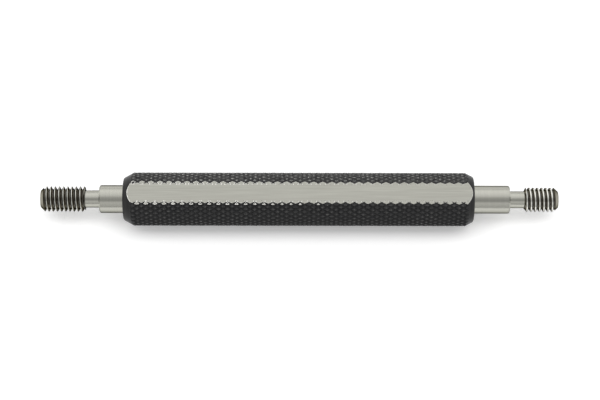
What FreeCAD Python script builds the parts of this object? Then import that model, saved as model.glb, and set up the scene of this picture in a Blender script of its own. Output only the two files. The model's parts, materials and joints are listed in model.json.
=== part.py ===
import FreeCAD, Part
import math
import os

# Double-ended thread plug gauge for an M6 x 1 internal thread. A black, knurled steel handle holds
# a GO member in one end and a NOT GO member in the other. Each member is one turned and ground
# piece: threaded nose, neck, shank, and a slow taper that is knocked into the handle's socket.
#
# Frame, in millimetres: the gauge's axis is X, with the GO end towards -X and the NOT GO end
# towards +X. The origin is on the axis, at the middle of the whole length. The gauge lies on its
# handle with the marking flat up, at +Z: the metal ground off makes that side the light one.

# Handle
handle_length = 83.1
handle_diameter = 12.7  # over the crests of the knurl
handle_face_diameter = 10.3  # what the end chamfers leave of the two end faces
go_end_chamfer_length = 2.35  # along the axis
no_go_end_chamfer_length = 1.85
handle_edge_break = 0.2  # where each chamfer meets its end face, along the axis

# Marking flat, ground along the whole handle
flat_distance = 5.64  # from the axis

# Taper sockets, the members' hold in the handle
taper_ratio = 50.0  # 1 mm on the diameter for this many millimetres of length
socket_depth = 22.0  # full bore, from the end face
socket_mouth_break = 0.25  # 45 degree break at the mouth
drill_point_angle = 118.0
taper_shank_length = 18.0
taper_end_break = 0.4

# What both members share
shank_diameter = 6.65
shank_edge_break = 0.2
centre_drill_diameter = 1.0  # centre holes, between which the members were ground
centre_drill_depth = 1.6
centre_cone_diameter = 2.1
centre_cone_angle = 60.0
thread_back_break = 0.25  # where the thread ends at the neck

# GO member: full thread form
go_thread_diameter = 6.0
go_thread_length = 10.55
go_tip_diameter = 4.1
go_tip_chamfer_length = 0.95
go_neck_diameter = 4.1
go_neck_length = 3.5
go_shank_length = 5.75  # outside the handle

# NOT GO member: shorter thread with cut-back crests
no_go_thread_diameter = 5.72
no_go_thread_length = 8.1
no_go_tip_diameter = 3.9
no_go_tip_chamfer_length = 0.95
no_go_neck_diameter = 4.0
no_go_neck_length = 3.5
no_go_shank_length = 8.65  # outside the handle

# Places along the axis
go_reach = go_thread_length + go_neck_length + go_shank_length
no_go_reach = no_go_thread_length + no_go_neck_length + no_go_shank_length
overall_length = go_reach + handle_length + no_go_reach
go_face_x = go_reach - overall_length / 2
no_go_face_x = go_face_x + handle_length

X_AXIS = FreeCAD.Vector(1, 0, 0)
ORIGIN = FreeCAD.Vector(0, 0, 0)


def turn(outline):
    """A solid turned about X from (x, radius) corners that start and end on the axis."""
    points = [FreeCAD.Vector(x, radius, 0) for x, radius in outline]
    profile = Part.Face(Part.makePolygon(points + points[:1]))
    return profile.revolve(ORIGIN, X_AXIS, 360)


def cone_depth(diameter, angle):
    """Length of a cone with this base diameter and this full point angle."""
    return diameter / 2 / math.tan(math.radians(angle / 2))


def socket():
    """The room of one taper socket: its mouth at x = 0, going into -X."""
    mouth = shank_diameter / 2
    bottom = mouth - socket_depth / taper_ratio / 2
    start = mouth - socket_mouth_break / taper_ratio / 2
    point = cone_depth(2 * bottom, drill_point_angle)
    return turn(
        [
            (-socket_depth - point, 0),
            (-socket_depth, bottom),
            (-socket_mouth_break, start),
            (0, start + socket_mouth_break),
            (0, 0),
        ]
    )


def centre_hole():
    """The room of one centre hole: its mouth at x = 0, going into -X."""
    cone = cone_depth(centre_cone_diameter, centre_cone_angle)
    drill = centre_drill_diameter / 2
    seat = cone - cone_depth(centre_drill_diameter, centre_cone_angle)
    point = cone_depth(centre_drill_diameter, drill_point_angle)
    depth = seat + centre_drill_depth
    return turn(
        [
            (-depth - point, 0),
            (-depth, drill),
            (-seat, drill),
            (0, centre_cone_diameter / 2),
            (0, 0),
        ]
    )


def at_no_go_end(shape, x):
    """The shape, made for an outward +X, moved to x."""
    moved = shape.copy()
    moved.translate(FreeCAD.Vector(x, 0, 0))
    return moved


def at_go_end(shape, x):
    """The shape, made for an outward +X, turned to face -X and moved to x."""
    moved = shape.copy()
    moved.rotate(ORIGIN, FreeCAD.Vector(0, 0, 1), 180)
    moved.translate(FreeCAD.Vector(x, 0, 0))
    return moved


def ground_off():
    """What grinding the marking flat takes off: all above its plane, along the whole handle."""
    corner = FreeCAD.Vector(go_face_x, -handle_diameter / 2, flat_distance)
    return Part.makeBox(handle_length, handle_diameter, handle_diameter, corner)


def make_handle():
    """Turned bar with an end chamfer each side, the ground flat and the two taper sockets."""
    radius = handle_diameter / 2
    face = handle_face_diameter / 2
    edge = face - handle_edge_break
    bar = turn(
        [
            (go_face_x, 0),
            (go_face_x, edge),
            (go_face_x + handle_edge_break, face),
            (go_face_x + go_end_chamfer_length, radius),
            (no_go_face_x - no_go_end_chamfer_length, radius),
            (no_go_face_x - handle_edge_break, face),
            (no_go_face_x, edge),
            (no_go_face_x, 0),
        ]
    )
    sockets = [at_go_end(socket(), go_face_x), at_no_go_end(socket(), no_go_face_x)]
    return bar.cut([ground_off(), *sockets]).Solids[0]


def make_member(thread, tip, neck, tip_chamfer, thread_length, neck_length, shank_length):
    """One gauging member, outward +X, with the handle's end face at x = 0.

    thread, tip and neck are diameters, and the rest are lengths along the axis.
    """
    shank = shank_diameter / 2
    taper_end = shank - taper_shank_length / taper_ratio / 2
    neck_start = shank_length
    thread_start = neck_start + neck_length
    thread_end = thread_start + thread_length
    body = turn(
        [
            (-taper_shank_length, 0),
            (-taper_shank_length, taper_end - taper_end_break),
            (-taper_shank_length + taper_end_break, taper_end + taper_end_break / taper_ratio / 2),
            (0, shank),
            (neck_start - shank_edge_break, shank),
            (neck_start, shank - shank_edge_break),
            (neck_start, neck / 2),
            (thread_start, neck / 2),
            (thread_start, thread / 2 - thread_back_break),
            (thread_start + thread_back_break, thread / 2),
            (thread_end - tip_chamfer, thread / 2),
            (thread_end, tip / 2),
            (thread_end, 0),
        ]
    )
    centres = [
        at_no_go_end(centre_hole(), thread_end),
        at_go_end(centre_hole(), -taper_shank_length),
    ]
    return body.cut(centres).Solids[0]


go_member = make_member(
    thread=go_thread_diameter,
    tip=go_tip_diameter,
    neck=go_neck_diameter,
    tip_chamfer=go_tip_chamfer_length,
    thread_length=go_thread_length,
    neck_length=go_neck_length,
    shank_length=go_shank_length,
)
no_go_member = make_member(
    thread=no_go_thread_diameter,
    tip=no_go_tip_diameter,
    neck=no_go_neck_diameter,
    tip_chamfer=no_go_tip_chamfer_length,
    thread_length=no_go_thread_length,
    neck_length=no_go_neck_length,
    shank_length=no_go_shank_length,
)

nodes = {
    "handle": make_handle(),
    "go_member": at_go_end(go_member, go_face_x),
    "no_go_member": at_no_go_end(no_go_member, no_go_face_x),
}

os.makedirs("parts", exist_ok=True)
for name, shape in nodes.items():
    shape.exportStep(os.path.join("parts", name + ".step"))
    box = shape.BoundBox
    print(
        f"{name}: {shape.ShapeType}, valid {shape.isValid()}, {shape.Volume:.1f} mm3, "
        f"x {box.XMin:.2f} to {box.XMax:.2f}, y {box.YMin:.2f} to {box.YMax:.2f}, "
        f"z {box.ZMin:.2f} to {box.ZMax:.2f}"
    )
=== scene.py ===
import json
import logging
import math
from dataclasses import dataclass
from enum import Enum

import bmesh
import bpy
from mathutils import Matrix, Vector, noise


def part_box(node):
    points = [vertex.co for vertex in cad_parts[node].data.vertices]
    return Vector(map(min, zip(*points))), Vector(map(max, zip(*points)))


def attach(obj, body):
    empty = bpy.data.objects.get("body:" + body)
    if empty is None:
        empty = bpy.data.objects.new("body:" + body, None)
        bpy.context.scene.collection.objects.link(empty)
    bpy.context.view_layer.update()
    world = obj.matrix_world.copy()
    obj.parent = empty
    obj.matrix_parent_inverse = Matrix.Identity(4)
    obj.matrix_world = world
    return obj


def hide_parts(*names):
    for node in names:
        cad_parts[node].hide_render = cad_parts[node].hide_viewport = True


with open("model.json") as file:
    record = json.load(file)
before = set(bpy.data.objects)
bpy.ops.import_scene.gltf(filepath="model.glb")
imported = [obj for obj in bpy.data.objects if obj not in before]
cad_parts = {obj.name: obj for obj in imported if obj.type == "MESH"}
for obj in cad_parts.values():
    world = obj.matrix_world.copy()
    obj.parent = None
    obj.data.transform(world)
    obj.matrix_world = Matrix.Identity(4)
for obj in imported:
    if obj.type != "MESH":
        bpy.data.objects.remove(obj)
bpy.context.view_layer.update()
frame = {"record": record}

log = logging.getLogger("thread_plug_gauge")

MM = 0.001  # metres in a millimetre


# ---------------------------------------------------------------- helpers


def linear(hex_colour: str) -> tuple[float, float, float, float]:
    """Turn an sRGB hex colour to linear light.

    Args:
        hex_colour: Colour as "#rrggbb".

    Returns:
        Red, green, blue and an alpha of 1.
    """
    channels = []
    for start in (1, 3, 5):
        value = int(hex_colour[start : start + 2], 16) / 255
        channels.append(value / 12.92 if value <= 0.04045 else ((value + 0.055) / 1.055) ** 2.4)
    return (*channels, 1.0)


def add_node(
    tree: bpy.types.NodeTree, kind: str, settings: dict | None = None, inputs: dict | None = None
) -> bpy.types.Node:
    """Add one node to a tree, with its settings and links.

    Args:
        tree: Node tree that takes the node.
        kind: Blender's name for the node type.
        settings: Node properties, by name.
        inputs: Input values, or the sockets to link to them, by input name or number.

    Returns:
        The new node.
    """
    node = tree.nodes.new(kind)
    for name, value in (settings or {}).items():
        setattr(node, name, value)
    for name, value in (inputs or {}).items():
        if isinstance(value, bpy.types.NodeSocket):
            tree.links.new(value, node.inputs[name])
        else:
            node.inputs[name].default_value = value
    return node


def start_material(name: str) -> tuple[bpy.types.Material, bpy.types.NodeTree, bpy.types.NodeSocket]:
    """Make an empty node material.

    Args:
        name: Name of the real material and of how its surface was made.

    Returns:
        The material, its node tree, and the object's coordinates in millimetres as a socket.
    """
    material = bpy.data.materials.new(name)
    material.use_nodes = True
    tree = material.node_tree
    tree.nodes.clear()
    place = add_node(tree, "ShaderNodeTexCoord")
    scaled = add_node(
        tree,
        "ShaderNodeVectorMath",
        {"operation": "SCALE"},
        {0: place.outputs["Object"], "Scale": 1 / MM},
    )
    return material, tree, scaled.outputs[0]


def radius_of(tree: bpy.types.NodeTree, place: bpy.types.NodeSocket) -> bpy.types.NodeSocket:
    """Give the distance from the X axis.

    Args:
        tree: Node tree that takes the nodes.
        place: A place, as a socket.

    Returns:
        The distance, as a socket.
    """
    xyz = add_node(tree, "ShaderNodeSeparateXYZ", inputs={0: place})
    around = add_node(tree, "ShaderNodeCombineXYZ", inputs={1: xyz.outputs[1], 2: xyz.outputs[2]})
    radius = add_node(tree, "ShaderNodeVectorMath", {"operation": "LENGTH"}, {0: around.outputs[0]})
    return radius.outputs["Value"]


def end_material(tree: bpy.types.NodeTree, inputs: dict) -> None:
    """Close a material with its shader.

    Args:
        tree: The material's node tree.
        inputs: Values and links of the Principled shader, by input name.
    """
    shader = add_node(tree, "ShaderNodeBsdfPrincipled", inputs=inputs)
    add_node(tree, "ShaderNodeOutputMaterial", inputs={"Surface": shader.outputs[0]})


def mesh_object(name: str, mesh: bpy.types.Mesh) -> bpy.types.Object:
    """Put a mesh in the scene.

    Args:
        name: Name of the new object.
        mesh: Its mesh.

    Returns:
        The object.
    """
    made = bpy.data.objects.new(name, mesh)
    bpy.context.scene.collection.objects.link(made)
    return made


def turned(name: str, outline: list[tuple[float, float, int]], segments: int) -> bpy.types.Object:
    """Turn an outline about X, as on a lathe.

    Args:
        name: Name of the new object.
        outline: Corners as x, radius and the finish of the face that starts there. The first and
            the last lie on the axis. Millimetres.
        segments: Faces round the axis.

    Returns:
        A closed object.
    """
    made = bmesh.new()
    rings = []
    for x, radius, _ in outline:
        if radius == 0:
            rings.append([made.verts.new((x * MM, 0, 0))] * segments)
            continue
        ring = []
        for step in range(segments):
            angle = math.tau * step / segments
            ring.append(
                made.verts.new((x * MM, radius * MM * math.cos(angle), radius * MM * math.sin(angle)))
            )
        rings.append(ring)
    for (low, high), (_, _, finish) in zip(zip(rings, rings[1:]), outline):
        for step in range(segments):
            after = (step + 1) % segments
            corners = [low[step], high[step], high[after], low[after]]
            face = made.faces.new(list(dict.fromkeys(corners)))
            face.material_index = finish
    bmesh.ops.recalc_face_normals(made, faces=made.faces)
    mesh = bpy.data.meshes.new(name)
    made.to_mesh(mesh)
    made.free()
    return mesh_object(name, mesh)


class Cut(Enum):
    """How one solid works on another."""

    KEEP_SHARED = "INTERSECT"
    TAKE_AWAY = "DIFFERENCE"
    ADD = "UNION"


def cut(work: bpy.types.Object, tool: bpy.types.Object, how: Cut) -> None:
    """Cut one closed object with another, and throw the tool away.

    Args:
        work: Object that is cut.
        tool: Object that cuts.
        how: What stays of the work.
    """
    step = work.modifiers.new("cut", "BOOLEAN")
    step.operation = how.value
    step.solver = "EXACT"
    step.object = tool
    shaped = work.evaluated_get(bpy.context.evaluated_depsgraph_get())
    mesh = bpy.data.meshes.new_from_object(shaped)
    work.modifiers.clear()
    old = work.data
    work.data = mesh
    mesh.name = work.name
    bpy.data.meshes.remove(old)
    bpy.data.objects.remove(tool)


def slice_level(
    work: bpy.types.Object, height: float, finish: int, keep_above: bool = False
) -> None:
    """Saw a closed object off level, and close the cut.

    Args:
        work: Object that is cut.
        height: Height of the cut, in millimetres.
        finish: Material slot of the new face.
        keep_above: Whether the upper part stays and the lower one goes.
    """
    shape = bmesh.new()
    shape.from_mesh(work.data)
    sliced = bmesh.ops.bisect_plane(
        shape,
        geom=[*shape.verts, *shape.edges, *shape.faces],
        plane_co=(0, 0, height * MM),
        plane_no=(0, 0, 1),
        clear_outer=not keep_above,
        clear_inner=keep_above,
    )
    rim = [item for item in sliced["geom_cut"] if isinstance(item, bmesh.types.BMEdge)]
    filled = bmesh.ops.contextual_create(shape, geom=rim)
    for face in filled["faces"]:
        face.material_index = finish
    bmesh.ops.recalc_face_normals(shape, faces=shape.faces)
    shape.to_mesh(work.data)
    shape.free()


# ---------------------------------------------------------------- finishes


@dataclass(frozen=True)
class KnurledBlackOxide:
    """Black-oxidised steel, knurled before it was blackened. The eye sees a near-black, dull
    surface where crests rubbed bare glint here and there. Both the greyer film and the bare crests are
    scaled along Y: painted light towards +Y, painted shade towards -Y."""

    fresh: str = "#242425"
    faded: str = "#4c4c4b"
    rubbed: str = "#b4b3af"
    sheen: float = 0.15  # how strongly the film mirrors; plain varnish would be at 0.5
    roughness: float = 0.35
    wear_depth: float = 0.05  # mm below the crests that hands rub
    painted_shade_span: tuple[float, float] = (-3.0, 3.5)  # mm along Y, from the side with painted shade to the side with painted light
    shaded_side_share: float = 0.2  # share of the greyer film and bare crests that the side with painted shade keeps
    mottle: float = 0.7  # mm, size of the film's uneven patches
    mottle_range: tuple[float, float] = (0.3, 0.7)  # of the noise, from fresh to faded
    speck: float = 0.3  # mm, size of the glints
    speck_range: tuple[float, float] = (0.47, 0.66)  # of the noise, from film to rubbed steel
    grains: float = 12.0  # to a millimetre, of the film's fine grain
    grain_height: float = 0.02  # mm
    relief: float = 0.5  # how strongly the grain shows in the light

    def build(self, crest: float) -> bpy.types.Material:
        """Make the material.

        Args:
            crest: Radius over the knurl's crests, mm.

        Returns:
            The material.
        """
        material, tree, place = start_material("steel_black_oxide_knurled")
        xyz = add_node(tree, "ShaderNodeSeparateXYZ", inputs={0: place})
        # Painted shade and light: side runs along Y from the shaded share at -Y to 1 at +Y and scales
        # the film's fading and the bare crests, so -Y is painted darker and +Y lighter.
        shaded_edge, lit_edge = self.painted_shade_span
        side = add_node(
            tree,
            "ShaderNodeMapRange",
            inputs={0: xyz.outputs[1], 1: shaded_edge, 2: lit_edge, 3: self.shaded_side_share, 4: 1.0},
        )
        patches = add_node(
            tree, "ShaderNodeTexNoise", inputs={"Vector": place, "Scale": 1 / self.mottle, "Detail": 4}
        )
        low, high = self.mottle_range
        fading_and_shade = add_node(
            tree,
            "ShaderNodeMapRange",
            inputs={0: patches.outputs[0], 1: low, 2: high, 4: side.outputs[0]},
        )
        film = add_node(
            tree,
            "ShaderNodeMix",
            {"data_type": "RGBA"},
            {0: fading_and_shade.outputs[0], 6: linear(self.fresh), 7: linear(self.faded)},
        )
        specks = add_node(
            tree, "ShaderNodeTexNoise", inputs={"Vector": place, "Scale": 1 / self.speck, "Detail": 3}
        )
        low, high = self.speck_range
        specks_and_shade = add_node(
            tree,
            "ShaderNodeMapRange",
            inputs={0: specks.outputs[0], 1: low, 2: high, 4: side.outputs[0]},
        )
        wear_and_shade = add_node(
            tree,
            "ShaderNodeMapRange",
            inputs={
                0: radius_of(tree, place),
                1: crest - self.wear_depth,
                2: crest,
                4: specks_and_shade.outputs[0],
            },
        )
        colour = add_node(
            tree,
            "ShaderNodeMix",
            {"data_type": "RGBA"},
            {0: wear_and_shade.outputs[0], 6: film.outputs[2], 7: linear(self.rubbed)},
        )
        grain = add_node(
            tree, "ShaderNodeTexNoise", inputs={"Vector": place, "Scale": self.grains, "Detail": 4}
        )
        bump = add_node(
            tree,
            "ShaderNodeBump",
            inputs={
                "Strength": self.relief,
                "Distance": self.grain_height * MM,
                "Height": grain.outputs[0],
            },
        )
        end_material(
            tree,
            {
                "Base Color": colour.outputs[2],
                "Metallic": wear_and_shade.outputs[0],
                "Roughness": self.roughness,
                "Specular IOR Level": self.sheen,
                "Normal": bump.outputs[0],
            },
        )
        return material


@dataclass(frozen=True)
class TurnedBlackOxide:
    """Black-oxidised steel, turned smooth. The eye sees fine rings round the axis and a soft sheen
    that the knurl next to it lacks."""

    dark: str = "#1e1e1f"
    light: str = "#343433"
    sheen: float = 0.13  # how strongly the film mirrors; plain varnish would be at 0.5
    roughness: float = 0.34
    feed: float = 0.35  # mm between tool marks, drawn coarser than the real 0.1 so that it shows
    depth: float = 0.02  # mm, height of the tool marks
    relief: float = 0.4  # how strongly they show in the light

    def build(self) -> bpy.types.Material:
        """Make the material.

        Returns:
            The material.
        """
        material, tree, place = start_material("steel_black_oxide_turned")
        rings = add_node(
            tree,
            "ShaderNodeTexNoise",
            {"noise_dimensions": "1D"},
            {"W": radius_of(tree, place), "Scale": 1 / self.feed, "Detail": 3},
        )
        colour = add_node(
            tree,
            "ShaderNodeMix",
            {"data_type": "RGBA"},
            {0: rings.outputs[0], 6: linear(self.dark), 7: linear(self.light)},
        )
        bump = add_node(
            tree,
            "ShaderNodeBump",
            inputs={
                "Strength": self.relief,
                "Distance": self.depth * MM,
                "Height": rings.outputs[0],
            },
        )
        end_material(
            tree,
            {
                "Base Color": colour.outputs[2],
                "Specular IOR Level": self.sheen,
                "Roughness": self.roughness,
                "Normal": bump.outputs[0],
            },
        )
        return material


class Lay(Enum):
    """Which way a grinding wheel left its marks."""

    ALONG = "along"
    ROUND = "round"


@dataclass(frozen=True)
class GroundSteel:
    """Hardened tool steel, ground bright. The eye sees a satin grey metal with fine straight marks
    that stretch its highlights across the lay."""

    name: str
    lay: Lay
    dark: str = "#a6a59d"
    light: str = "#b5b5ac"
    edge: str = "#4c4c4c"  # how much of the light a surface seen nearly edge-on still mirrors
    roughness: float = 0.18
    mark: float = 0.22  # mm between marks, drawn coarser than the real 0.02 so that they show
    run: float = 0.02  # how fast a mark changes along itself, against across
    fineness: float = 0.6  # how much the finer marks count against the coarse ones
    depth: float = 0.01  # mm, height of the marks
    relief: float = 0.5  # how strongly they show in the light
    contrast: float = 1.0  # how clearly the marks differ in tone

    def build(self) -> bpy.types.Material:
        """Make the material.

        Returns:
            The material.
        """
        material, tree, place = start_material(self.name)
        stretch = (self.run, 1, 1) if self.lay is Lay.ALONG else (1, self.run, self.run)
        lines = add_node(tree, "ShaderNodeMapping", inputs={"Vector": place, "Scale": stretch})
        marks = add_node(
            tree,
            "ShaderNodeTexNoise",
            inputs={
                "Vector": lines.outputs[0],
                "Scale": 1 / self.mark,
                "Detail": 4,
                "Roughness": self.fineness,
            },
        )
        spread = 0.5 / self.contrast
        tone = add_node(
            tree,
            "ShaderNodeMapRange",
            inputs={0: marks.outputs[0], 1: 0.5 - spread, 2: 0.5 + spread},
        )
        colour = add_node(
            tree,
            "ShaderNodeMix",
            {"data_type": "RGBA"},
            {0: tone.outputs[0], 6: linear(self.dark), 7: linear(self.light)},
        )
        bump = add_node(
            tree,
            "ShaderNodeBump",
            inputs={
                "Strength": self.relief,
                "Distance": self.depth * MM,
                "Height": marks.outputs[0],
            },
        )
        end_material(
            tree,
            {
                "Base Color": colour.outputs[2],
                "Metallic": 1.0,
                "Roughness": self.roughness,
                "Specular Tint": linear(self.edge),
                "Normal": bump.outputs[0],
            },
        )
        return material


@dataclass(frozen=True)
class GroundThread:
    """Hardened tool steel with a ground thread. The crests are painted bright, a painted highlight,
    over flanks and a groove painted darker, painted shade."""

    # Painted highlight on the crests, painted shade on the flanks and in the groove.
    highlight_crest_colour: str = "#dcdbd4"
    shaded_flank_colour: str = "#8d8a80"
    edge: str = "#4c4c4c"  # how much of the light a surface seen nearly edge-on still mirrors
    roughness: float = 0.15
    highlight_depth: float = 0.03  # mm below the crests that carry the painted highlight

    def build(self, name: str, crest: float) -> bpy.types.Material:
        """Make the material.

        Args:
            name: Name of the material.
            crest: Radius over the thread's crests, mm.

        Returns:
            The material.
        """
        material, tree, place = start_material(name)
        # Painted highlight mask: 1 at the crests, falling to 0 on the flanks, which carry painted
        # shade.
        painted_highlight = add_node(
            tree,
            "ShaderNodeMapRange",
            inputs={0: radius_of(tree, place), 1: crest - self.highlight_depth, 2: crest - self.highlight_depth / 3},
        )
        colour = add_node(
            tree,
            "ShaderNodeMix",
            {"data_type": "RGBA"},
            {0: painted_highlight.outputs[0], 6: linear(self.shaded_flank_colour), 7: linear(self.highlight_crest_colour)},
        )
        end_material(
            tree,
            {
                "Base Color": colour.outputs[2],
                "Metallic": 1.0,
                "Roughness": self.roughness,
                "Specular Tint": linear(self.edge),
            },
        )
        return material


@dataclass(frozen=True)
class GrindingBurr:
    """Bare steel that the grinding wheel dragged to the flat's rim. The eye sees a thin, torn line;
    its torn stretches take a near-white painted glint, painted stronger towards -X where the light
    falls brighter."""

    dull: str = "#a6a59d"
    # near-white painted highlight, the burr's glint
    painted_highlight: str = "#fdfcf6"
    roughness: float = 0.25
    glint_full_until: float = -20.0  # mm along X up to which the painted glint is full
    glint_faint_from: float = 25.0  # and from which it is faint
    faint_glint_share: float = 0.35  # share of the painted glint that is left there
    tear: float = 0.7  # mm, length of the torn and the clean stretches
    tear_range: tuple[float, float] = (0.36, 0.5)  # of the noise, from clean to torn

    def build(self) -> bpy.types.Material:
        """Make the material.

        Returns:
            The material.
        """
        material, tree, place = start_material("steel_grinding_burr")
        torn = add_node(
            tree, "ShaderNodeTexNoise", inputs={"Vector": place, "Scale": 1 / self.tear, "Detail": 3}
        )
        xyz = add_node(tree, "ShaderNodeSeparateXYZ", inputs={0: place})
        # Painted light: the glint is full towards -X and fainter towards +X.
        painted_light_along_x = add_node(
            tree,
            "ShaderNodeMapRange",
            inputs={0: xyz.outputs[0], 1: self.glint_full_until, 2: self.glint_faint_from, 3: 1.0, 4: self.faint_glint_share},
        )
        low, high = self.tear_range
        glint = add_node(
            tree,
            "ShaderNodeMapRange",
            inputs={0: torn.outputs[0], 1: low, 2: high, 4: painted_light_along_x.outputs[0]},
        )
        colour = add_node(
            tree,
            "ShaderNodeMix",
            {"data_type": "RGBA"},
            {0: glint.outputs[0], 6: linear(self.dull), 7: linear(self.painted_highlight)},
        )
        end_material(
            tree,
            {"Base Color": colour.outputs[2], "Metallic": 1.0, "Roughness": self.roughness},
        )
        return material


@dataclass(frozen=True)
class WhiteBoard:
    """Matt white laminate. The eye sees a clean white ground that keeps a soft shadow."""

    colour: str = "#f4f4f4"
    lift: float = 0.17  # how far the board is lifted towards white, beyond what the lamps give it

    def build(self) -> bpy.types.Material:
        """Make the material.

        Returns:
            The material.
        """
        material, tree, _ = start_material("white_laminate_matt")
        board = add_node(tree, "ShaderNodeBsdfDiffuse", inputs={"Color": linear(self.colour)})
        glow = add_node(tree, "ShaderNodeEmission", inputs={"Color": (1, 1, 1, 1)})
        path = add_node(tree, "ShaderNodeLightPath")
        seen = add_node(
            tree,
            "ShaderNodeMath",
            {"operation": "MAXIMUM"},
            {0: path.outputs["Is Camera Ray"], 1: path.outputs["Is Glossy Ray"]},
        )
        seen = add_node(
            tree,
            "ShaderNodeMath",
            {"operation": "MAXIMUM"},
            {0: seen.outputs[0], 1: path.outputs["Is Transmission Ray"]},
        )
        strength = add_node(
            tree,
            "ShaderNodeMath",
            {"operation": "MULTIPLY"},
            {0: seen.outputs[0], 1: self.lift},
        )
        tree.links.new(strength.outputs[0], glow.inputs["Strength"])
        both = add_node(
            tree, "ShaderNodeAddShader", inputs={0: board.outputs[0], 1: glow.outputs[0]}
        )
        add_node(tree, "ShaderNodeOutputMaterial", inputs={"Surface": both.outputs[0]})
        return material


# ---------------------------------------------------------------- handle


@dataclass
class Knurl:
    """Male diamond knurl, two crossing families of V grooves. Millimetres."""

    crest: float  # radius over the crests
    starts: int = 32  # grooves of each hand round the bar
    right_pitch: float = 2.1525  # axial pitch of the grooves of one hand
    left_pitch: float = 2.1146  # and of the other, a little less
    depth: float = 0.33
    edge_round: float = 0.05  # width of the worn edge round each diamond's crest
    root_round: float = 0.06  # half width of a groove's rounded bottom
    crest_scatter: float = 0.02  # how unevenly the rolled crests stand
    scatter_along: float = 0.45  # how fast that changes along the bar, to a millimetre
    scatter_round: float = 3.0  # and round it, to a radian
    turn_offset: float = 1.067  # where the rows of diamonds lie round the bar, in half diamonds
    axial_offset: float = 0.833  # where the diamonds lie along the bar, in half diamonds
    spare: int = 2  # half diamonds by which the knurl goes on beyond the blank

    def __post_init__(self) -> None:
        """Work out the diamonds' grid from the grooves."""
        right, left = 1 / self.right_pitch, 1 / self.left_pitch
        self.half_length = 1 / (right + left)
        self.twist = right - left
        self.half_turn = math.pi / self.starts

    def rings(self) -> list[tuple[float, float]]:
        """Work out one diamond's nested outlines.

        Returns:
            Scale of each outline against the whole diamond, and its depth below the crest.
        """
        around = math.tau * self.crest / self.starts
        along = 2 * self.half_length
        half = around * along / math.hypot(around, along) / 2
        lip = self.edge_round / 2
        flank_top = self.depth - lip
        return [
            (1 - self.root_round / half, self.depth - self.root_round / 2),
            (1 - flank_top / half, lip),
            (1 - (self.depth + lip) / half, 0.0),
        ]

    def point(self, row: float, column: float, depth: float) -> Vector:
        """Place a point of the knurl.

        Args:
            row: Its place round the bar, in half diamonds.
            column: Its place along the bar, in half diamonds.
            depth: Its depth below the crests.

        Returns:
            The point in metres.
        """
        x = (column - self.axial_offset) * self.half_length
        angle = (row - self.turn_offset - self.twist * x) * self.half_turn
        around = self.scatter_round
        wander = noise.noise(
            Vector((x * self.scatter_along, around * math.sin(angle), around * math.cos(angle)))
        )
        radius = self.crest - depth
        radius += self.crest_scatter * (wander - 0.5) * (1 - depth / self.depth)
        return Vector((x, -radius * math.sin(angle), radius * math.cos(angle))) * MM

    def bar(self, low: float, high: float) -> bpy.types.Object:
        """Make a knurled bar, longer than the blank at both ends.

        Args:
            low: Where the blank starts along X.
            high: Where it ends.

        Returns:
            A closed object.
        """
        rows = 2 * self.starts
        first = math.floor(low / self.half_length) - self.spare
        last = math.ceil(high / self.half_length) + self.spare
        made = bmesh.new()
        crossings: dict[tuple[int, int], bmesh.types.BMVert] = {}

        def crossing(row: int, column: int) -> bmesh.types.BMVert:
            """Give the shared corner where two grooves cross.

            Args:
                row: Its place round the bar, in half diamonds.
                column: Its place along the bar, in half diamonds.

            Returns:
                The corner.
            """
            key = (row % rows, column)
            if key not in crossings:
                crossings[key] = made.verts.new(self.point(*key, self.depth))
            return crossings[key]

        arms = [(1, 0), (0, 1), (-1, 0), (0, -1)]
        for row in range(rows):
            for column in range(first, last + 1):
                if (row + column) % 2 == 0:
                    continue
                outer = [crossing(row + across, column + along) for across, along in arms]
                for scale, depth in self.rings():
                    inner = [
                        made.verts.new(
                            self.point(row + across * scale, column + along * scale, depth)
                        )
                        for across, along in arms
                    ]
                    for side in range(4):
                        after = (side + 1) % 4
                        made.faces.new((outer[side], outer[after], inner[after], inner[side]))
                    outer = inner
                made.faces.new(outer)
        for end in (first - self.spare, last + self.spare):
            centre = made.verts.new((end * self.half_length * MM, 0, 0))
            side = 1 if end > 0 else -1
            rim = [e for e in made.edges if e.is_boundary and e.verts[0].co.x * side > 0]
            for edge in rim:
                made.faces.new((*edge.verts, centre))
        bmesh.ops.recalc_face_normals(made, faces=made.faces)
        mesh = bpy.data.meshes.new("knurled_bar")
        made.to_mesh(mesh)
        made.free()
        return mesh_object("knurled_bar", mesh)


class HandleFinish(Enum):
    """Material slots of the handle."""

    KNURLED = 0
    TURNED = 1
    GROUND = 2
    BURR = 3


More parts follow.
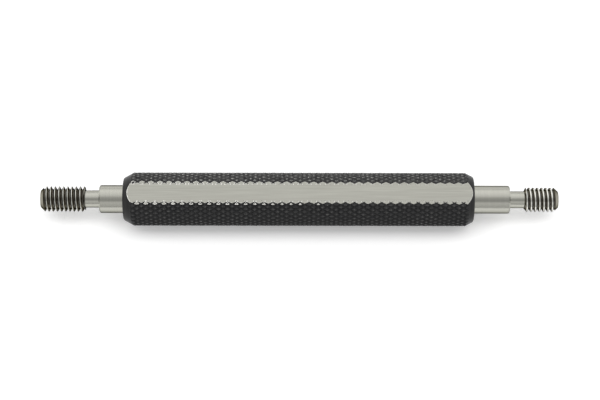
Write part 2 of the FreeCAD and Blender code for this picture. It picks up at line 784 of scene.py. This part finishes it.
@dataclass
class Handle:
    """The knurled handle: a turned bar with a ground marking flat. Millimetres."""

    go_face: float  # places of the two end faces along X
    not_go_face: float
    crest: float  # radius over the knurl
    flat: float  # height of the flat above the axis
    shank: float  # radius of the members' shanks
    go_rim: float = 5.15  # radii of the end faces
    not_go_rim: float = 5.5
    go_chamfer: float = 2.35  # lengths of the end chamfers along X
    not_go_chamfer: float = 1.85
    edge_break: float = 0.2
    mouth_break: float = 0.25  # at the mouths of the sockets
    socket_depth: float = 12.0  # how much of each socket is made, more than can be looked into
    burr_width: float = 0.16  # of the bright burr round the flat
    burr_fall: float = 0.012  # how far it lies below the flat
    burr_lean: float = 0.4  # share of its width by which it comes nearer the axis
    missed_far: float = 0.4  # mm2, up to which the wheel left a crest by itself black at +Y
    missed_near: float = 0.12  # and at -Y, where it ground a trace deeper
    cap_depth: float = 0.036  # thickness of the cap that bears the flat
    segments: int = 256
    clear: float = 0.5  # how far the blank's barrel stands off the knurl

    def blank(self, inset: float = 0.0) -> bpy.types.Object:
        """Make what the lathe leaves, with no knurl and no flat.

        Args:
            inset: How far both ends are drawn in along X.

        Returns:
            A closed object.
        """
        smooth = HandleFinish.TURNED.value
        low, high = self.go_face + inset, self.not_go_face - inset
        barrel = self.crest + self.clear
        go_slope = self.go_chamfer / (self.crest - self.go_rim)
        not_go_slope = self.not_go_chamfer / (self.crest - self.not_go_rim)
        mouth = self.shank + self.mouth_break
        outline = [
            (low + self.socket_depth, 0),
            (low + self.socket_depth, self.shank),
            (low + self.mouth_break, self.shank),
            (low, mouth),
            (low, self.go_rim - self.edge_break),
            (low + self.edge_break, self.go_rim),
            (low + self.go_chamfer + self.clear * go_slope, barrel),
            (high - self.not_go_chamfer - self.clear * not_go_slope, barrel),
            (high - self.edge_break, self.not_go_rim),
            (high, self.not_go_rim - self.edge_break),
            (high, mouth),
            (high - self.mouth_break, self.shank),
            (high - self.socket_depth, self.shank),
            (high - self.socket_depth, 0),
        ]
        return turned("handle", [(x, radius, smooth) for x, radius in outline], self.segments)

    def knurled(self, blank: bpy.types.Object, under: float = 0.0) -> bpy.types.Object:
        """Roll the knurl on a blank.

        Args:
            blank: Object that takes the knurl.
            under: How far the knurl's crests lie below the handle's own.

        Returns:
            The same object.
        """
        bar = Knurl(crest=self.crest - under).bar(self.go_face, self.not_go_face)
        for made in (blank, bar):
            for _ in HandleFinish:
                made.data.materials.append(None)
        cut(blank, bar, Cut.KEEP_SHARED)
        return blank

    def leave_black(self, work: bpy.types.Object, finish: HandleFinish) -> None:
        """Give the crests that the wheel only brushed their black film back.

        Args:
            work: Object whose small level faces are looked at.
            finish: Finish that those faces have.
        """
        for face in work.data.polygons:
            if face.material_index == finish.value:
                missed = self.missed_far if face.center.y > 0 else self.missed_near
                if face.area < missed * MM**2:
                    face.material_index = HandleFinish.KNURLED.value

    def build(self) -> bpy.types.Object:
        """Make the finished handle: the bar up to the burr, and a thin cap that bears the flat.

        Returns:
            The handle's object.
        """
        handle = self.blank()
        slice_level(handle, self.flat - self.burr_fall, HandleFinish.BURR.value)
        self.knurled(handle)
        self.leave_black(handle, HandleFinish.BURR)
        cap = self.blank(self.burr_width)
        slice_level(cap, self.flat, HandleFinish.GROUND.value)
        slice_level(cap, self.flat - self.cap_depth, HandleFinish.GROUND.value, keep_above=True)
        self.knurled(cap, under=self.burr_width * self.burr_lean)
        self.leave_black(cap, HandleFinish.GROUND)
        cut(handle, cap, Cut.ADD)
        finishes = {
            HandleFinish.KNURLED: KnurledBlackOxide().build(self.crest),
            HandleFinish.TURNED: TurnedBlackOxide().build(),
            HandleFinish.GROUND: GroundSteel(
                "steel_ground_flat", Lay.ALONG, edge="#c8c8c8", roughness=0.3, contrast=2.5
            ).build(),
            HandleFinish.BURR: GrindingBurr().build(),
        }
        for finish in HandleFinish:
            handle.data.materials[finish.value] = finishes[finish]
        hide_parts("handle")
        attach(handle, "root")
        log.info("handle: %d faces", len(handle.data.polygons))
        return handle


# ---------------------------------------------------------------- gauging members


class End(Enum):
    """The gauge's two ends, by the way they face along X."""

    GO = -1
    NOT_GO = 1


@dataclass
class ThreadGroove:
    """Right-hand 60 degree thread groove. Millimetres."""

    crest: float  # radius over the thread
    pitch: float = 1.0
    root: float = 2.29  # radius at the bottom of the groove
    pitch_radius: float = 2.675  # where ridge and groove are equally wide
    flank: float = 30.0  # degrees, half the groove's angle
    steps: int = 96  # to a turn
    over: float = 0.07  # how far the cutter stands out of the thread

    def cutter(self, low: float, high: float, tip: float, turn: float) -> bpy.types.Object:
        """Make the helical solid that cuts the groove.

        Args:
            low: Where the groove starts along X.
            high: Where it ends.
            tip: Place of the member's tip along X.
            turn: Where the groove meets the tip, in degrees round X.

        Returns:
            A closed object.
        """
        start = turn - 360 * (tip - low) / self.pitch
        slope = math.tan(math.radians(self.flank))
        half_at_pitch = self.pitch / 4
        outer = self.crest + self.over
        half_outer = half_at_pitch + (outer - self.pitch_radius) * slope
        half_root = half_at_pitch - (self.pitch_radius - self.root) * slope
        section = [
            (-half_outer, outer),
            (-half_root, self.root),
            (half_root, self.root),
            (half_outer, outer),
        ]
        made = bmesh.new()
        count = round((high - low) / self.pitch * self.steps)
        before = None
        for step in range(count + 1):
            angle = math.radians(start) + math.tau * step / self.steps
            middle = low + self.pitch * step / self.steps
            ring = [
                made.verts.new(
                    (
                        (middle + along) * MM,
                        radius * MM * math.cos(angle),
                        radius * MM * math.sin(angle),
                    )
                )
                for along, radius in section
            ]
            if before:
                for side in range(4):
                    after = (side + 1) % 4
                    made.faces.new((before[side], before[after], ring[after], ring[side]))
            else:
                made.faces.new(ring)
            before = ring
        made.faces.new(before)
        bmesh.ops.recalc_face_normals(made, faces=made.faces)
        mesh = bpy.data.meshes.new("thread_cutter")
        made.to_mesh(mesh)
        made.free()
        return mesh_object("thread_cutter", mesh)


class MemberFinish(Enum):
    """Material slots of a gauging member."""

    SHANK = 0
    THREAD = 1


@dataclass
class GaugingMember:
    """One gauging member: threaded nose, neck and shank. Millimetres, outward from the handle."""

    node: str
    end: End
    face: float  # place of the handle's end face along X
    tip: float  # place of the member's tip along X
    shank: float  # radius of the shank
    crest: float  # radius over the thread
    thread_length: float
    thread_turn: float  # where the groove meets the tip, in degrees round X
    neck_length: float
    neck: float  # radius of the neck
    tip_face: float  # radius of the flat end
    tip_chamfer: float = 0.95
    back_break: float = 0.25  # length of the slope behind the thread
    back_fall: float = 0.25  # and how far it falls from the crests
    edge_break: float = 0.2
    centre: float = 1.05  # radius of the centre hole's mouth
    centre_drill: float = 0.5  # radius of the drilled hole
    centre_cone: float = 0.953  # depth of the cone
    centre_depth: float = 2.55  # of the drilled hole, without the drill's point
    centre_point: float = 0.3  # length of that point
    run_in: float = 0.6  # how far the groove goes on past the thread's back
    run_out: float = 1.5  # and past its tip
    inside: float = 8.0  # how much of the shank inside the handle is made
    sharp: float = 20.0  # degrees, from which an edge stays sharp
    segments: int = 160

    def outward(self, distance: float) -> float:
        """Give the place along X at this distance outward from the handle's face."""
        return self.face + self.end.value * distance

    def build(self, ground: bpy.types.Material) -> bpy.types.Object:
        """Make the finished member.

        Args:
            ground: Material of the shank and the neck.

        Returns:
            The member's object.
        """
        reach = abs(self.tip - self.face)
        thread_start = reach - self.thread_length
        neck_start = thread_start - self.neck_length
        plain = MemberFinish.SHANK.value
        ridged = MemberFinish.THREAD.value
        outline = [
            (-self.inside, 0, plain),
            (-self.inside, self.shank, plain),
            (neck_start - self.edge_break, self.shank, plain),
            (neck_start, self.shank - self.edge_break, plain),
            (neck_start, self.neck, plain),
            (thread_start, self.neck, ridged),
            (thread_start, self.crest - self.back_fall, ridged),
            (thread_start + self.back_break, self.crest, ridged),
            (reach - self.tip_chamfer, self.crest, ridged),
            (reach, self.tip_face, ridged),
            (reach, self.centre, ridged),
            (reach - self.centre_cone, self.centre_drill, ridged),
            (reach - self.centre_depth, self.centre_drill, ridged),
            (reach - self.centre_depth - self.centre_point, 0, ridged),
        ]
        placed = [(self.outward(along), radius, finish) for along, radius, finish in outline]
        member = turned(self.node, placed, self.segments)
        groove_ends = (thread_start - self.run_in, reach + self.run_out)
        ends = sorted(self.outward(along) for along in groove_ends)
        groove = ThreadGroove(crest=self.crest).cutter(*ends, self.tip, self.thread_turn)
        for face in groove.data.polygons:
            face.material_index = ridged
        for made in (member, groove):
            for _ in MemberFinish:
                made.data.materials.append(None)
        cut(member, groove, Cut.TAKE_AWAY)
        thread = GroundThread().build(f"tool_steel_ground_thread_{self.end.name.lower()}", self.crest)
        member.data.materials[plain], member.data.materials[ridged] = ground, thread
        member.data.shade_smooth()
        member.data.set_sharp_from_angle(angle=math.radians(self.sharp))
        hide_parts(self.node)
        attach(member, "root")
        log.info("%s: %d faces", self.node, len(member.data.polygons))
        return member


# ---------------------------------------------------------------- studio


@dataclass
class Studio:
    """White table, soft light and the camera. Metres and degrees."""

    table_height: float
    table_half: float = 3.0  # half the table's side
    camera_elevation: float = 74.0
    camera_distance: float = 0.39
    view_width: float = 0.143198  # what the camera sees across, at the gauge's axis
    aim_right: float = 0.00014  # where the camera looks, against the gauge's middle
    aim_down: float = 0.00016
    camera_roll: float = 0.1
    softbox_height: float = 0.6
    softbox_back: float = 0.09
    softbox_size: tuple[float, float] = (1.0, 0.25)
    softbox_brightness: float = 2.6
    room_level: float = 1.4
    room_sides: tuple[float, float] = (0.45, 0.6)  # the left wall and the right one
    # Brightness of the room against its brightest, on an arc from the front horizon over the top
    # to the back one: pale wall, the dark camera overhead, then the window wall.
    room: tuple[tuple[float, float], ...] = (
        (0, 0.46),
        (25, 0.57),
        (44, 0.64),
        (53, 0.5),
        (60, 0.34),
        (72, 0.38),
        (88, 0.48),
        (97, 0.68),
        (110, 0.82),
        (132, 0.96),
        (148, 1.0),
        (166, 0.8),
        (180, 0.68),
    )

    def table(self) -> bpy.types.Object:
        """Lay the white board that the gauge lies on.

        Returns:
            The board's object.
        """
        half = self.table_half
        mesh = bpy.data.meshes.new("table")
        corners = [(-half, -half), (half, -half), (half, half), (-half, half)]
        mesh.from_pydata([(x, y, self.table_height) for x, y in corners], [], [(0, 1, 2, 3)])
        board = mesh_object("table", mesh)
        mesh.materials.append(WhiteBoard().build())
        return board

    def lamp(self) -> None:
        """Hang a softbox over the gauge, for the board: the metal mirrors the room, not it."""
        width, depth = self.softbox_size
        lamp = bpy.data.lights.new("softbox", "AREA")
        lamp.shape = "RECTANGLE"
        lamp.size, lamp.size_y = width, depth
        lamp.energy = math.pi * width * depth * self.softbox_brightness
        softbox = bpy.data.objects.new("softbox", lamp)
        bpy.context.scene.collection.objects.link(softbox)
        softbox.location = (0, self.softbox_back, self.softbox_height)
        softbox.visible_glossy = False

    def light_room(self) -> None:
        """Light the room softly from all round."""
        world = bpy.data.worlds.new("room")
        bpy.context.scene.world = world
        world.use_nodes = True
        tree = world.node_tree
        tree.nodes.clear()
        place = add_node(tree, "ShaderNodeTexCoord")
        xyz = add_node(tree, "ShaderNodeSeparateXYZ", inputs={0: place.outputs["Generated"]})
        front = add_node(
            tree, "ShaderNodeMath", {"operation": "MULTIPLY"}, {0: xyz.outputs[1], 1: -1.0}
        )
        arc = add_node(
            tree, "ShaderNodeMath", {"operation": "ARCTAN2"}, {0: xyz.outputs[2], 1: front.outputs[0]}
        )
        along = add_node(
            tree, "ShaderNodeMapRange", inputs={0: arc.outputs[0], 1: 0.0, 2: math.pi}
        )
        walls = add_node(tree, "ShaderNodeValToRGB", inputs={0: along.outputs[0]})
        ramp = walls.color_ramp
        while len(ramp.elements) < len(self.room):
            ramp.elements.new(0.5)
        for stop, (angle, level) in zip(ramp.elements, self.room):
            stop.position = angle / 180
            stop.color = (level, level, level, 1)
        aside = add_node(
            tree,
            "ShaderNodeMath",
            {"operation": "MULTIPLY"},
            {0: xyz.outputs[0], 1: xyz.outputs[0]},
        )
        left, right = self.room_sides
        sides = add_node(
            tree, "ShaderNodeMapRange", inputs={0: xyz.outputs[0], 1: -1.0, 2: 1.0, 3: left, 4: right}
        )
        whole = add_node(
            tree,
            "ShaderNodeMix",
            {"data_type": "RGBA"},
            {0: aside.outputs[0], 6: walls.outputs[0], 7: sides.outputs[0]},
        )
        lit = add_node(
            tree,
            "ShaderNodeBackground",
            inputs={"Color": whole.outputs[2], "Strength": self.room_level},
        )
        add_node(tree, "ShaderNodeOutputWorld", inputs={0: lit.outputs[0]})

    def camera(self) -> None:
        """Set the camera above and in front of the gauge."""
        data = bpy.data.cameras.new("camera")
        data.sensor_width = 36.0
        data.lens = data.sensor_width * self.camera_distance / self.view_width
        data.clip_start, data.clip_end = 0.01, 20
        camera = bpy.data.objects.new("camera", data)
        bpy.context.scene.collection.objects.link(camera)
        angle = math.radians(self.camera_elevation)
        back = Vector((0, -math.cos(angle), math.sin(angle)))
        up = Vector((0, math.sin(angle), math.cos(angle)))
        aim = Vector((self.aim_right, 0, 0)) - up * self.aim_down
        camera.location = aim + back * self.camera_distance
        roll = Matrix.Rotation(math.radians(self.camera_roll), 4, "Z")
        turn = (-back).to_track_quat("-Z", "Y").to_matrix().to_4x4() @ roll
        camera.matrix_world = Matrix.Translation(camera.location) @ turn
        bpy.context.scene.camera = camera

    def build(self) -> None:
        """Set up the table, the light and the camera."""
        self.table()
        self.lamp()
        self.light_room()
        self.camera()
        bpy.context.scene.view_settings.view_transform = "Standard"
        log.info("studio: table, softbox and camera")


def main() -> None:
    """Build the gauge and its studio in order."""
    logging.basicConfig(level=logging.INFO, format="%(message)s")
    handle_low, handle_high = (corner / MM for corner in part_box("handle"))
    go_low, go_high = (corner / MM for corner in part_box("go_member"))
    _, not_go_high = (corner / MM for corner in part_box("no_go_member"))
    crests = {mount["name"]: mount["dims"].get("r_mm") for mount in frame["record"]["mounts"]}
    shank = go_high.z
    Handle(
        go_face=handle_low.x,
        not_go_face=handle_high.x,
        crest=-handle_low.z,
        flat=handle_high.z,
        shank=shank,
    ).build()
    ground = GroundSteel("tool_steel_ground_round", Lay.ROUND).build()
    GaugingMember(
        node="go_member",
        end=End.GO,
        face=handle_low.x,
        tip=go_low.x,
        shank=shank,
        crest=crests["go_thread"],
        thread_length=10.55,
        thread_turn=75.4,
        neck_length=3.5,
        neck=2.05,
        tip_face=2.05,
    ).build(ground)
    GaugingMember(
        node="no_go_member",
        end=End.NOT_GO,
        face=handle_high.x,
        tip=not_go_high.x,
        shank=shank,
        crest=crests["no_go_thread"],
        thread_length=8.1,
        thread_turn=141.4,
        neck_length=3.5,
        neck=2.0,
        tip_face=1.95,
        back_break=0.4,
        back_fall=0.85,
    ).build(ground)
    Studio(table_height=handle_low.z * MM).build()


if __name__ == "__main__":
    main()
